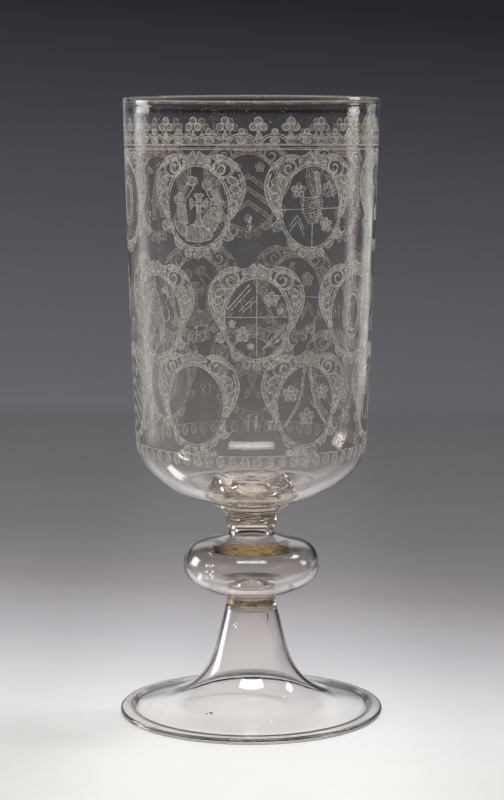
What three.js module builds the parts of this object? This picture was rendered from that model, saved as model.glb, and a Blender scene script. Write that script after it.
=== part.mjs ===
// A blown-glass goblet: a tall bowl and a hollow knop on a trumpet foot, joined by two gilded collars.
// Millimetres, +Z up. It stands on the plane z = 0 with its axis on Z.
import * as THREE from "three";

// Steps round the axis, along a curve and along a small rounding
const SEGMENTS = 48;
const CURVE_STEPS = 6;
const ROUNDING_STEPS = 4;

// Foot: a trumpet-shaped cone that opens into a thin disc
const FOOT_HEIGHT = 48.6;
const FOOT_RADIUS = 58.0;
const FOOT_TOP_RADIUS = 11.05;
const CONE_DROP = 19.1;
const CONE_RADIUS = 15.8;
const CONE_SLOPE = 4.0;
const CONE_WALL = 1.4;
const FLARE_RADIUS = 31.0;
const FLARE_HEIGHT = 9.0;
const FLARE_SLOPE = 0.55;
const FLARE_FULLNESS = 0.65;
const DISC_RADIUS = 38.5;
const DISC_HEIGHT = 6.1;
const DISC_SLOPE = 0.2;
const DISC_WALL = 1.4;
const CROWN_WALL = 1.4;
const CROWN_ROUNDING = 1.2;

// Foot fold: the edge of the foot, turned under itself and pressed flat
const FOLD_WIDTH = 6.0;
const FOLD_LAYER = 1.4;
const FOLD_LIP_ROUNDING = 0.6;

// Pontil scar: the stub of glass left under the crown of the foot
const SCAR_RADIUS = 6.0;
const SCAR_HEIGHT = 0.9;
const SCAR_BREAK_RADIUS = 3.4;
const SCAR_BREAK_DEPTH = 0.4;

// Lower collar: a short gilded drum with a dome on top
const LOWER_COLLAR_HEIGHT = 3.3;
const LOWER_COLLAR_RADIUS = 11.05;
const DOME_RADIUS = 7.9;
const DOME_HEIGHT = 5.4;

// Knop: a thin-walled, flattened bulb, pushed up from below and open through its neck
const KNOP_HEIGHT = 31.4;
const KNOP_RADIUS = 29.85;
const KNOP_EQUATOR_HEIGHT = 14.0;
const KNOP_HEEL = 0.3;
const KNOP_UNDER_SLOPE = 0.25;
const KNOP_FULLNESS = 0.68;
const KNOP_SHOULDER_RADIUS = 20.0;
const KNOP_SHOULDER_HEIGHT = 25.3;
const KNOP_SHOULDER_SLOPE = 0.2;
const KNOP_FLOOR_WALL = 2.2;
const KNOP_WALL = 1.8;
const NECK_RADIUS = 9.8;
const NECK_HEIGHT = 2.9;

// Upper collar: a gilded ring that spreads out under the bowl and closes the neck with a shallow cup
const UPPER_COLLAR_HEIGHT = 12.1;
const UPPER_COLLAR_FOOT_RADIUS = 10.7;
const UPPER_COLLAR_WAIST_RADIUS = 11.7;
const UPPER_COLLAR_WAIST_HEIGHT = 5.2;
const UPPER_COLLAR_TOP_RADIUS = 20.5;
const UPPER_COLLAR_EDGE = 0.3;
const UPPER_COLLAR_CUP = 2.2;

// Bowl: a blown cylinder, a little wider at the lip, with a thick base pushed up in the middle
const BOWL_HEIGHT = 174.6;
const BOWL_RADIUS = 55.1;
const BOWL_LIP_SLOPE = 65.0;
const BOWL_SHOULDER_RADIUS = 50.4;
const BOWL_SHOULDER_HEIGHT = 26.2;
const BOWL_SHOULDER_SLOPE = 20.0;
const BOWL_SHOULDER_FULLNESS = 0.73;
const BOWL_BELLY_RADIUS = 28.7;
const BOWL_BELLY_HEIGHT = 2.9;
const BOWL_BELLY_SLOPE = 0.11;
const BOWL_BELLY_FULLNESS = 0.17;
const BOWL_SPREAD_SLOPE = 0.47;
const BOWL_FLOOR_WALL = 3.0;
const BOWL_CORNER_WALL = 2.7;
const BOWL_WALL = 1.5;
const KICK_HEIGHT = 7.0;
const KICK_RADIUS = 18.8;
const KICK_TOP_RADIUS = 15.0;
const KICK_SLOPE = 2.2;
const KICK_WALL = 3.0;
const RECESS_RADIUS = 13.0;
const RECESS_TOP_RADIUS = 9.0;

// Clearance between the dome and the hollow of the knop that it stands in
const DOME_GAP = 0.3;

// Joint planes, from the table up
const LOWER_COLLAR_Z = FOOT_HEIGHT;
const KNOP_Z = LOWER_COLLAR_Z + LOWER_COLLAR_HEIGHT;
const UPPER_COLLAR_Z = KNOP_Z + KNOP_HEIGHT;
const BOWL_Z = UPPER_COLLAR_Z + UPPER_COLLAR_HEIGHT;

const clearGlass = new THREE.MeshStandardMaterial({
  color: 0xdcd6d4, roughness: 0.03, metalness: 0, transparent: true, opacity: 0.35,
});
const gildedGlass = new THREE.MeshStandardMaterial({
  color: 0x8f7440, roughness: 0.3, metalness: 0.4,
});

// How far a curve's handle reaches towards the corner that it rounds; this share is near a circle
const ROUND = 0.55;

const at = (radius, height) => new THREE.Vector2(radius, height);
const sloping = (rise) => new THREE.Vector2(1, rise);
const LEVEL = sloping(0);
const UPRIGHT = new THREE.Vector2(0, 1);

// Where the line through a along u meets the line through b along v
function crossing(a, u, b, v) {
  const share = b.clone().sub(a).cross(v) / u.cross(v);
  return a.clone().addScaledVector(u, share);
}

// A curve that leaves one point along a line and reaches another along a second line
function sweep(from, fromLine, to, toLine, fullness = ROUND, endFullness = fullness) {
  const corner = crossing(from, fromLine, to, toLine);
  const leave = from.clone().lerp(corner, fullness);
  const reach = to.clone().lerp(corner, endFullness);
  return new THREE.CubicBezierCurve(from, leave, reach, to).getPoints(CURVE_STEPS);
}

// The same for a small rounding, which needs fewer steps
function rounding(from, fromLine, to, toLine) {
  const corner = crossing(from, fromLine, to, toLine);
  return new THREE.QuadraticBezierCurve(from, corner, to).getPoints(ROUNDING_STEPS);
}

// The same outline moved to its left by a wall that changes evenly from first to last
function inset(points, first, last) {
  return points.map((point, index) => {
    const before = points[Math.max(index - 1, 0)];
    const after = points[Math.min(index + 1, points.length - 1)];
    const along = after.clone().sub(before).normalize();
    const wall = THREE.MathUtils.lerp(first, last, index / (points.length - 1));
    return at(point.x - along.y * wall, point.y + along.x * wall);
  });
}

// Turns an outline of radius and height about Z; the outline has the glass on its left
function turned(name, z, material, outline) {
  const apart = outline.filter((p, i) => i === 0 || p.distanceTo(outline[i - 1]) > 1e-4);
  const geometry = new THREE.LatheGeometry(apart, SEGMENTS);
  geometry.rotateX(Math.PI / 2);
  const mesh = new THREE.Mesh(geometry, material);
  mesh.name = name;
  mesh.position.z = z;
  return mesh;
}

function foot() {
  const foldTop = FOLD_LAYER;
  const edgeTop = foldTop + FOLD_LAYER;
  const edge = at(FOOT_RADIUS - FOLD_LAYER, edgeTop);
  const disc = at(DISC_RADIUS, DISC_HEIGHT);
  const flare = at(FLARE_RADIUS, FLARE_HEIGHT);
  const cone = at(CONE_RADIUS, FOOT_HEIGHT - CONE_DROP);
  const top = at(FOOT_TOP_RADIUS, FOOT_HEIGHT);
  const upperFace = [
    ...sweep(edge, LEVEL, disc, sloping(-DISC_SLOPE)),
    ...sweep(disc, sloping(-DISC_SLOPE), flare, sloping(-FLARE_SLOPE)),
    ...sweep(flare, sloping(-FLARE_SLOPE), cone, sloping(-CONE_SLOPE), FLARE_FULLNESS),
  ];
  const foldInner = FOOT_RADIUS - FOLD_WIDTH;
  const underFace = inset(upperFace, DISC_WALL, CONE_WALL)
    .filter((p) => p.x < foldInner - FOLD_LAYER)
    .reverse();
  const crown = FOOT_HEIGHT - CROWN_WALL;
  const crownRadius = FOOT_TOP_RADIUS - CONE_WALL + CROWN_WALL / CONE_SLOPE;
  const crownSide = at(crownRadius + CROWN_ROUNDING / CONE_SLOPE, crown - CROWN_ROUNDING);
  return turned("foot", 0, clearGlass, [
    at(0, crown),
    ...rounding(at(crownRadius - CROWN_ROUNDING, crown), LEVEL, crownSide, sloping(-CONE_SLOPE)),
    ...underFace,
    at(foldInner, foldTop),
    ...rounding(at(FOOT_RADIUS, foldTop), UPRIGHT, edge, LEVEL),
    ...upperFace,
    top,
    at(0, FOOT_HEIGHT),
  ]);
}

function footFold() {
  const inner = FOOT_RADIUS - FOLD_WIDTH;
  return turned("foot_fold", 0, clearGlass, [
    at(inner, FOLD_LAYER),
    ...rounding(at(inner, FOLD_LIP_ROUNDING), UPRIGHT, at(inner + FOLD_LIP_ROUNDING, 0), LEVEL),
    ...rounding(at(FOOT_RADIUS - FOLD_LAYER, 0), LEVEL, at(FOOT_RADIUS, FOLD_LAYER), UPRIGHT),
    at(inner, FOLD_LAYER),
  ]);
}

function pontilScar() {
  const breakFace = at(SCAR_BREAK_RADIUS, 0);
  return turned("pontil_scar", FOOT_HEIGHT - CROWN_WALL - SCAR_HEIGHT, clearGlass, [
    at(0, SCAR_BREAK_DEPTH),
    breakFace,
    ...sweep(breakFace, UPRIGHT, at(SCAR_RADIUS, SCAR_HEIGHT), LEVEL),
    at(0, SCAR_HEIGHT),
  ]);
}

function lowerCollar() {
  const top = LOWER_COLLAR_HEIGHT;
  return turned("lower_collar", LOWER_COLLAR_Z, gildedGlass, [
    at(0, 0),
    at(LOWER_COLLAR_RADIUS, 0),
    at(LOWER_COLLAR_RADIUS, top),
    ...sweep(at(DOME_RADIUS, top), UPRIGHT, at(0, top + DOME_HEIGHT), LEVEL),
  ]);
}

function knop() {
  const hollowRadius = DOME_RADIUS + DOME_GAP;
  const hollowTop = DOME_HEIGHT + DOME_GAP;
  const heel = at(LOWER_COLLAR_RADIUS, KNOP_HEEL);
  const equator = at(KNOP_RADIUS, KNOP_EQUATOR_HEIGHT);
  const shoulder = at(KNOP_SHOULDER_RADIUS, KNOP_SHOULDER_HEIGHT);
  const shoulderLine = sloping(-KNOP_SHOULDER_SLOPE);
  const neck = at(NECK_RADIUS, KNOP_HEIGHT - NECK_HEIGHT);
  const underside = sweep(heel, sloping(KNOP_UNDER_SLOPE), equator, UPRIGHT, KNOP_FULLNESS);
  const upper = [
    ...sweep(equator, UPRIGHT, shoulder, shoulderLine, KNOP_FULLNESS),
    ...rounding(shoulder, shoulderLine, neck, UPRIGHT).slice(1),
    at(NECK_RADIUS, KNOP_HEIGHT),
  ];
  const crownRadius = hollowRadius + KNOP_FLOOR_WALL;
  const innerFloor = inset(underside, KNOP_FLOOR_WALL, KNOP_WALL)
    .filter((p) => p.x > crownRadius + KNOP_FLOOR_WALL / 2)
    .reverse();
  const crownFoot = at(crownRadius, innerFloor[innerFloor.length - 1].y);
  const crown = at(0, hollowTop + KNOP_FLOOR_WALL);
  return turned("knop", KNOP_Z, clearGlass, [
    ...sweep(at(0, hollowTop), LEVEL, at(hollowRadius, 0), UPRIGHT),
    at(LOWER_COLLAR_RADIUS, 0),
    ...underside,
    ...upper,
    ...inset(upper, KNOP_WALL, KNOP_WALL).reverse(),
    ...innerFloor,
    ...sweep(crownFoot, UPRIGHT, crown, LEVEL),
  ]);
}

function upperCollar() {
  const waist = at(UPPER_COLLAR_WAIST_RADIUS, UPPER_COLLAR_WAIST_HEIGHT);
  const edge = at(UPPER_COLLAR_TOP_RADIUS, UPPER_COLLAR_HEIGHT - UPPER_COLLAR_EDGE);
  return turned("upper_collar", UPPER_COLLAR_Z, gildedGlass, [
    ...sweep(at(0, UPPER_COLLAR_CUP), LEVEL, at(NECK_RADIUS - KNOP_WALL, 0), UPRIGHT),
    at(UPPER_COLLAR_FOOT_RADIUS, 0),
    ...sweep(waist, UPRIGHT, edge, sloping(BOWL_SPREAD_SLOPE)),
    at(UPPER_COLLAR_TOP_RADIUS, UPPER_COLLAR_HEIGHT),
    at(0, UPPER_COLLAR_HEIGHT),
  ]);
}

function bowl() {
  const base = at(UPPER_COLLAR_TOP_RADIUS, 0);
  const belly = at(BOWL_BELLY_RADIUS, BOWL_BELLY_HEIGHT);
  const shoulder = at(BOWL_SHOULDER_RADIUS, BOWL_SHOULDER_HEIGHT);
  const lip = at(BOWL_RADIUS, BOWL_HEIGHT - BOWL_WALL / 2);
  const lipTop = at(BOWL_RADIUS - BOWL_WALL / 2, BOWL_HEIGHT);
  const bellyLine = sloping(BOWL_BELLY_SLOPE);
  const shoulderLine = sloping(BOWL_SHOULDER_SLOPE);
  const rounded = [
    ...sweep(base, sloping(BOWL_SPREAD_SLOPE), belly, bellyLine),
    ...sweep(belly, bellyLine, shoulder, shoulderLine, BOWL_BELLY_FULLNESS, BOWL_SHOULDER_FULLNESS).slice(1),
  ];
  const wall = sweep(shoulder, shoulderLine, lip, sloping(BOWL_LIP_SLOPE)).slice(1);
  const insideWall = inset(wall, BOWL_CORNER_WALL, BOWL_WALL).reverse();
  const insideRounded = inset(rounded, BOWL_FLOOR_WALL, BOWL_CORNER_WALL).reverse();
  const kickTop = BOWL_FLOOR_WALL + KICK_HEIGHT;
  const kickLine = sloping(-KICK_SLOPE);
  return turned("bowl", BOWL_Z, clearGlass, [
    at(0, kickTop - KICK_WALL),
    ...sweep(at(RECESS_TOP_RADIUS, kickTop - KICK_WALL), LEVEL, at(RECESS_RADIUS, 0), UPRIGHT),
    ...rounded,
    ...wall,
    ...rounding(lip, UPRIGHT, lipTop, LEVEL),
    ...rounding(lipTop, LEVEL, insideWall[0], UPRIGHT),
    ...insideWall,
    ...insideRounded,
    ...rounding(at(KICK_RADIUS, BOWL_FLOOR_WALL), kickLine, at(KICK_TOP_RADIUS, kickTop), LEVEL),
    at(0, kickTop),
  ]);
}

const goblet = new THREE.Group();
goblet.add(foot(), footFold(), pontilScar(), lowerCollar(), knop(), upperCollar(), bowl());

export default goblet;
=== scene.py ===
import math

import bpy
import numpy as np
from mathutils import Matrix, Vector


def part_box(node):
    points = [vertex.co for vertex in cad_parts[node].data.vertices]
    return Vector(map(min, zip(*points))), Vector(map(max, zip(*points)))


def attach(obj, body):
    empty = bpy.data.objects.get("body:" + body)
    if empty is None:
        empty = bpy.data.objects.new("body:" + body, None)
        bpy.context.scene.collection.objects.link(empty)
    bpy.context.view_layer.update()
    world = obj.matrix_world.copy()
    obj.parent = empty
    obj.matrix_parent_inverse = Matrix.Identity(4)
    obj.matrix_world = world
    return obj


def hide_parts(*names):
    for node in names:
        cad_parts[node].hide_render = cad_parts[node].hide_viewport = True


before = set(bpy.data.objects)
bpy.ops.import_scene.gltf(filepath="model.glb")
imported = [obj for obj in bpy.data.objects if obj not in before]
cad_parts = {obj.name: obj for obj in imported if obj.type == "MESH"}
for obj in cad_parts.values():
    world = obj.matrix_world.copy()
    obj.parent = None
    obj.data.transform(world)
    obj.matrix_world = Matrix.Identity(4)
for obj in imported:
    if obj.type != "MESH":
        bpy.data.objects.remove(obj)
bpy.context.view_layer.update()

# A blown-glass goblet: an engraved bowl and a hollow knop on a trumpet foot, joined by gilded collars.
# Lengths are millimetres, as in the CAD, until a mesh is written. Angles run from the front to the right.
MM = 0.001
ROUND = 0.55
CURVE_STEPS = 22
ROUNDING_STEPS = 8
SEGMENTS = 256
SHARP_ANGLE = math.radians(38)

# Joint planes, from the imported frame
FOOT_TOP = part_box("foot")[1].z / MM
KNOP_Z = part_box("knop")[0].z / MM
UPPER_COLLAR_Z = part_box("upper_collar")[0].z / MM
BOWL_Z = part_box("bowl")[0].z / MM
BOWL_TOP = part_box("bowl")[1].z / MM

# How far fused pieces reach into each other, so that no film of air shows between them
FUSE = 0.04

LEVEL = np.array([1.0, 0.0])
UPRIGHT = np.array([0.0, 1.0])


def at(radius, height):
    return np.array([radius, height], float)


def sloping(rise):
    return np.array([1.0, rise])


def crossing(a, a_line, b, b_line):
    """Where two lines meet: a plus a_line times the ratio of two cross products."""
    gap = b - a
    share = (gap[0] * b_line[1] - gap[1] * b_line[0]) / (a_line[0] * b_line[1] - a_line[1] * b_line[0])
    return a + share * a_line


def bezier(handles, steps):
    """A Bezier curve: the Bernstein-weighted sum of its handles at evenly spaced shares."""
    share = np.linspace(0, 1, steps + 1)[:, None]
    order = len(handles) - 1
    weights = [math.comb(order, k) * share**k * (1 - share) ** (order - k) for k in range(order + 1)]
    return sum(weight * handle for weight, handle in zip(weights, handles))


def sweep(a, a_line, b, b_line, fullness=ROUND, end_fullness=None):
    """A cubic Bezier whose handles lie the given shares of the way to the crossing of its end lines."""
    corner = crossing(a, a_line, b, b_line)
    end = fullness if end_fullness is None else end_fullness
    return bezier([a, a + fullness * (corner - a), b + end * (corner - b), b], CURVE_STEPS)


def rounding(a, a_line, b, b_line):
    """A quadratic Bezier with its handle at the crossing of its end lines."""
    return bezier([a, crossing(a, a_line, b, b_line), b], ROUNDING_STEPS)


def inset(points, first, last):
    """Each point moved to the left of its neighbours' chord by a wall that runs from first to last."""
    before = np.vstack([points[:1], points[:-1]])
    after = np.vstack([points[1:], points[-1:]])
    along = (after - before) / np.linalg.norm(after - before, axis=1)[:, None]
    wall = np.linspace(first, last, len(points))[:, None]
    return points + wall * np.column_stack([-along[:, 1], along[:, 0]])


def outline(*parts):
    """Points and curves in a row, without the repeated points where they meet."""
    points = np.vstack([np.atleast_2d(part) for part in parts])
    apart = np.linalg.norm(np.diff(points, axis=0), axis=1) > 1e-3
    return points[np.concatenate([[True], apart])]


def sleeve(outer, thickness):
    """A closed band: an outer line, and the same line moved inwards by a thickness carried back."""
    return outline(outer, inset(outer, thickness, thickness)[::-1], outer[0])


def lining(line, first, last, radii, thickness):
    """A thin sleeve inside a line: the line moved in by first to last, kept between two radii."""
    within = inset(line, first, last)
    kept = (within[:, 0] > radii[0]) & (within[:, 0] < radii[1])
    return sleeve(within[kept], thickness)


def settled(theta, radius, height):
    """Unevenness of hand work: the radius shrinks by up to 0.3 percent in slow waves round the axis."""
    away = np.clip((radius - 24) / 24, 0, 1)
    waves = np.sin(2 * theta + 0.013 * height + 0.6) + 0.5 * np.sin(3 * theta - 0.021 * height + 2.1)
    return radius * (1 - 0.001 * away * (1.5 + waves)), height


def mesh_piece(name, points, faces, material):
    """An object at the origin whose mesh holds the points, in millimetres, and the faces."""
    mesh = bpy.data.meshes.new(name)
    mesh.from_pydata((np.asarray(points) * MM).tolist(), [], faces)
    mesh.update()
    mesh.polygons.foreach_set("use_smooth", np.ones(len(mesh.polygons), bool))
    mesh.set_sharp_from_angle(angle=SHARP_ANGLE)
    mesh.materials.append(material)
    piece = bpy.data.objects.new(name, mesh)
    bpy.context.scene.collection.objects.link(piece)
    return piece


def turned(name, base, profile, material, bend=settled, segments=SEGMENTS):
    """A profile of radius and height carried round the axis.
    A point is radius times sine and minus cosine of the angle, and its height over base. Ends on the axis
    become one point; a profile that returns to its start is closed. The glass lies on the profile's left."""
    closed_up = np.allclose(profile[0], profile[-1])
    rings = profile[:-1] if closed_up else profile
    first_pole = rings[0, 0] < 1e-6
    last_pole = rings[-1, 0] < 1e-6
    ringed = rings[int(first_pole) : len(rings) - int(last_pole)]
    theta = np.linspace(0, 2 * np.pi, segments, endpoint=False)[:, None]
    radius, height = bend(theta, ringed[None, :, 0], ringed[None, :, 1] + base)
    radius, height = np.broadcast_arrays(radius, height + 0 * theta)
    points = np.stack([radius * np.sin(theta), -radius * np.cos(theta), height], axis=-1).reshape(-1, 3)
    count = len(ringed)
    index = np.arange(segments * count).reshape(segments, count)
    ahead = np.roll(index, -1, axis=0)
    step = np.roll(index, -1, axis=1)
    step_ahead = np.roll(ahead, -1, axis=1)
    last = count if closed_up else count - 1
    faces = np.stack([index, ahead, step_ahead, step], axis=-1)[:, :last].reshape(-1, 4).tolist()
    for pole, ring, turn in ((first_pole, 0, 1), (last_pole, count - 1, -1)):
        if pole:
            end = rings[0] if turn == 1 else rings[-1]
            points = np.vstack([points, [[0, 0, end[1] + base]]])
            fan = np.column_stack([np.full(segments, len(points) - 1), ahead[:, ring], index[:, ring]])
            faces += fan[:, ::turn].tolist()
    return mesh_piece(name, points, faces, material)


# Materials


def srgb(red, green, blue):
    """A colour as it shows on a screen, 0 to 255, made linear."""
    shown = np.array([red, green, blue]) / 255
    linear = np.where(shown <= 0.04045, shown / 12.92, ((shown + 0.055) / 1.055) ** 2.4)
    return tuple(float(channel) for channel in linear)


def grey(level):
    return (level, level, level)


ROSE_GREY = srgb(251, 247, 242)
WATER_WHITE = srgb(254, 251, 248)
PEWTER = srgb(247, 244, 240)
PAINTED_SHADE_TINT = srgb(240, 238, 236)
SMOKE = srgb(244, 237, 222)
STAIN = srgb(253, 251, 246)
UMBER = srgb(74, 58, 40)
AMBER = srgb(146, 118, 74)
PALE_GOLD = srgb(214, 190, 140)
STRAW = srgb(232, 220, 190)
PAINTED_SHADE_BROWN = srgb(70, 58, 46)
OUTLINE_BROWN = srgb(84, 68, 48)
DIRT_AND_SHADE = srgb(100, 90, 84)

# Where the foot's cone and disc get a painted shade, a darker tint of the glass, in metres to the right and
# up
CONE_SIDE = (0.008, 0.015)
CONE_RISE = (0.010, 0.022)
DISC_END = (0.034, 0.044)

# How leaf thins out; the painted reflection ring fades and darkens as painted shade, in metres from middle
# and towards the back
RING_FADES_ASIDE = (0.014, 0.0215)
RING_FADES_BACK = (-0.008, 0.004)
RING_PAINTED_SHADE_ASIDE = (0.006, 0.016)
LEAF_RANGE = 0.34
LEAF_FEATHER = 0.05
LEAF_FROM_BEHIND = 0.2

# How much weaker a scratch looks through the wall that carries it
SEEN_FROM_BEHIND = 0.2


class Nodes:
    """Short calls that add nodes to a tree, link them and return their outputs."""

    def __init__(self, tree, owner=None):
        self.tree = tree
        self.owner = owner

    def add(self, kind, inputs=None, **settings):
        node = self.tree.nodes.new("ShaderNode" + kind)
        for key, value in settings.items():
            setattr(node, key, value)
        for key, value in (inputs or {}).items():
            self.join(value, node.inputs[key])
        return node.outputs

    def join(self, value, socket):
        if isinstance(value, bpy.types.NodeSocket):
            self.tree.links.new(value, socket)
        else:
            socket.default_value = value

    def maths(self, operation, *values, use_clamp=False):
        return self.add("Math", dict(enumerate(values)), operation=operation, use_clamp=use_clamp)[0]

    def times(self, one, two):
        return self.maths("MULTIPLY", one, two)

    def plus(self, one, two):
        return self.maths("ADD", one, two)

    def minus(self, one, two):
        return self.maths("SUBTRACT", one, two)

    def most(self, one, two):
        return self.maths("MAXIMUM", one, two)

    def size(self, value):
        return self.maths("ABSOLUTE", value)

    def place(self):
        return self.add("TexCoord")["Object"]

    def xyz(self, vector):
        return self.add("SeparateXYZ", {"Vector": vector})

    def ramp(self, factor, *stops):
        """A colour ramp through (place, colour) stops."""
        colour = self.add("ValToRGB", {"Fac": factor})["Color"]
        elements = colour.node.color_ramp.elements
        while len(elements) < len(stops):
            elements.new(1.0)
        for element, (place, shade) in zip(elements, stops):
            element.position = place
            element.color = (*shade, 1)
        return colour

    def graded(self, value, low, high, stops):
        """A colour ramp from low to high whose stops lie at measures of the value."""
        share = self.add("MapRange", {"Value": value, "From Min": low, "From Max": high})["Result"]
        return self.ramp(share, *[((measure - low) / (high - low), colour) for measure, colour in stops])

    def spread(self, value, low, high, new_low=0.0, new_high=1.0):
        """A value carried from one range to another with soft ends."""
        limits = {"Value": value, "From Min": low, "From Max": high, "To Min": new_low, "To Max": new_high}
        return self.add("MapRange", limits, interpolation_type="SMOOTHSTEP")["Result"]

    def noise(self, vector, scale, detail=3.0, roughness=0.6, stretch=(1, 1, 1)):
        """Noise over the piece's own metres, stretched along its axes."""
        mapped = self.add("Mapping", {"Vector": vector, "Scale": stretch})[0]
        shape = {"Vector": mapped, "Scale": scale, "Detail": detail, "Roughness": roughness}
        return self.add("TexNoise", shape)["Fac"]

    def blend(self, share, one, two):
        return self.add("Mix", {0: share, 6: one, 7: two}, data_type="RGBA")[2]

    def vectors(self, operation, one, two):
        return self.add("VectorMath", {0: one, 1: two}, operation=operation)[0]

    def principled(self, look):
        return self.add("BsdfPrincipled", look)[0]

    def clear(self, tint=(1, 1, 1)):
        return self.add("BsdfTransparent", {"Color": (*tint, 1)})[0]

    def between(self, share, one, two):
        """A shader that runs from one to two."""
        return self.add("MixShader", {0: share, 1: one, 2: two})[0]

    def surface(self, shader, output="OutputMaterial"):
        """Gives the material or world its shader, and returns it."""
        self.add(output, {"Surface": shader})
        return self.owner


def effect(name, inputs, outputs):
    """An empty shader node group: inputs are numbers with their defaults or "Vector", outputs are kinds."""
    group = bpy.data.node_groups.new(name, "ShaderNodeTree")
    for label, default in inputs.items():
        kind = default if default == "Vector" else "Float"
        socket = group.interface.new_socket(label, in_out="INPUT", socket_type="NodeSocket" + kind)
        if kind == "Float":
            socket.default_value = default
    for label, kind in outputs.items():
        group.interface.new_socket(label, in_out="OUTPUT", socket_type="NodeSocket" + kind)
    given = group.nodes.new("NodeGroupInput").outputs
    result = group.nodes.new("NodeGroupOutput").inputs
    return group, Nodes(group), given, result


def blown_surface():
    """Slow ripples and fine tool marks of blown glass, as a height, and where hands have dulled it."""
    inputs = {"Ripple Size": 1.0, "Ring Marks": 1.0}
    group, nodes, given, result = effect("blown_surface", inputs, {"Height": "Float", "Dulled": "Float"})
    place = nodes.place()
    slow = nodes.noise(place, nodes.times(given["Ripple Size"], 55.0), 1.5, 0.4, (1, 1, 0.6))
    rings = nodes.noise(place, 90.0, 2.0, 0.5, (0.12, 0.12, 2.4))
    marked = nodes.times(rings, given["Ring Marks"])
    nodes.join(nodes.plus(slow, nodes.times(marked, 0.25)), result["Height"])
    patches = nodes.spread(nodes.noise(place, 38.0, 4.0), 0.5, 0.75)
    dust = nodes.spread(nodes.noise(place, 900.0, 2.0), 0.35, 0.7)
    nodes.join(nodes.times(patches, dust), result["Dulled"])
    return group


def leaf_streaks():
    """Broken gold leaf drawn out round a collar: its colour, its bare metal, its roughness and its relief."""
    inputs = {"Streak Scale": 260.0, "Flatness": 7.0, "Gold Share": 0.5}
    outputs = {"Colour": "Color", "Metal": "Float", "Roughness": "Float", "Height": "Float"}
    group, nodes, given, result = effect("leaf_streaks", inputs, outputs)
    place = nodes.place()
    part = nodes.xyz(place)
    squares = [nodes.maths("POWER", part[axis], 2.0) for axis in ("X", "Y")]
    radius = nodes.maths("SQRT", nodes.plus(*squares))
    upward = nodes.times(nodes.plus(part["Z"], radius), given["Flatness"])
    drawn = nodes.add("CombineXYZ", {"X": part["X"], "Y": part["Y"], "Z": upward})[0]
    broad = nodes.noise(drawn, given["Streak Scale"], 4.0, 0.62)
    flakes = nodes.noise(place, 1900.0, 2.5)
    mixed = nodes.plus(nodes.times(broad, 0.78), nodes.times(flakes, 0.22))
    colour = nodes.ramp(mixed, (0.36, UMBER), (0.48, AMBER), (0.56, PALE_GOLD), (0.66, STRAW))
    nodes.join(colour, result["Colour"])
    edge = nodes.minus(0.85, nodes.times(given["Gold Share"], 0.6))
    nodes.join(nodes.spread(mixed, nodes.minus(edge, 0.06), edge), result["Metal"])
    nodes.join(nodes.spread(flakes, 0.3, 0.7, 0.25, 0.5), result["Roughness"])
    nodes.join(mixed, result["Height"])
    return group


def cut_grain():
    """The frosted floor of a scratched line: how much of it is cut, and how pale it is."""
    group, nodes, given, result = effect("cut_grain", {"Skips": 0.5}, {"Cover": "Float", "Colour": "Color"})
    place = nodes.place()
    skips = nodes.noise(place, 700.0, 3.0, 0.65)
    pressure = nodes.noise(place, 60.0, 1.0, 0.5)
    low = nodes.times(given["Skips"], 0.72)
    cover = nodes.spread(skips, low, nodes.plus(low, 0.28), 0.55, 1.0)
    nodes.join(nodes.times(cover, nodes.spread(pressure, 0.25, 0.7, 0.75, 1.0)), result["Cover"])
    nodes.join(nodes.ramp(skips, (0.3, srgb(205, 198, 188)), (0.7, srgb(237, 230, 220))), result["Colour"])
    return group


def box_glow():
    """How bright a soft-edged box looks in a direction, given in the box's own frame: the product of two
    smooth windows of across and up over ahead, and nothing behind."""
    sides = {"Half Width": 1.0, "Half Height": 1.0}
    inputs = {"Direction": "Vector", **sides, "Softness": 1.0, "Brightness": 1.0}
    group, nodes, given, result = effect("box_glow", inputs, {"Glow": "Float"})
    part = nodes.xyz(given["Direction"])
    nearest = 0.05
    ahead = nodes.most(part["Y"], nearest)
    glow = given["Brightness"]
    for axis, side in zip("XZ", sides):
        off = nodes.size(nodes.maths("DIVIDE", part[axis], ahead))
        soft = nodes.times(given[side], given["Softness"])
        inner = nodes.minus(given[side], soft)
        outer = nodes.plus(given[side], soft)
        glow = nodes.times(glow, nodes.spread(off, inner, outer, 1.0, 0.0))
    nodes.join(nodes.times(glow, nodes.maths("GREATER_THAN", part["Y"], nearest)), result["Glow"])
    return group


BLOWN_SURFACE = blown_surface()
LEAF_STREAKS = leaf_streaks()
CUT_GRAIN = cut_grain()


def emptied(owner):
    """The nodes of a material or world, which starts without any."""
    owner.use_nodes = True
    owner.node_tree.nodes.clear()
    return Nodes(owner.node_tree, owner)


def new_material(name):
    return emptied(bpy.data.materials.new(name))


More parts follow.
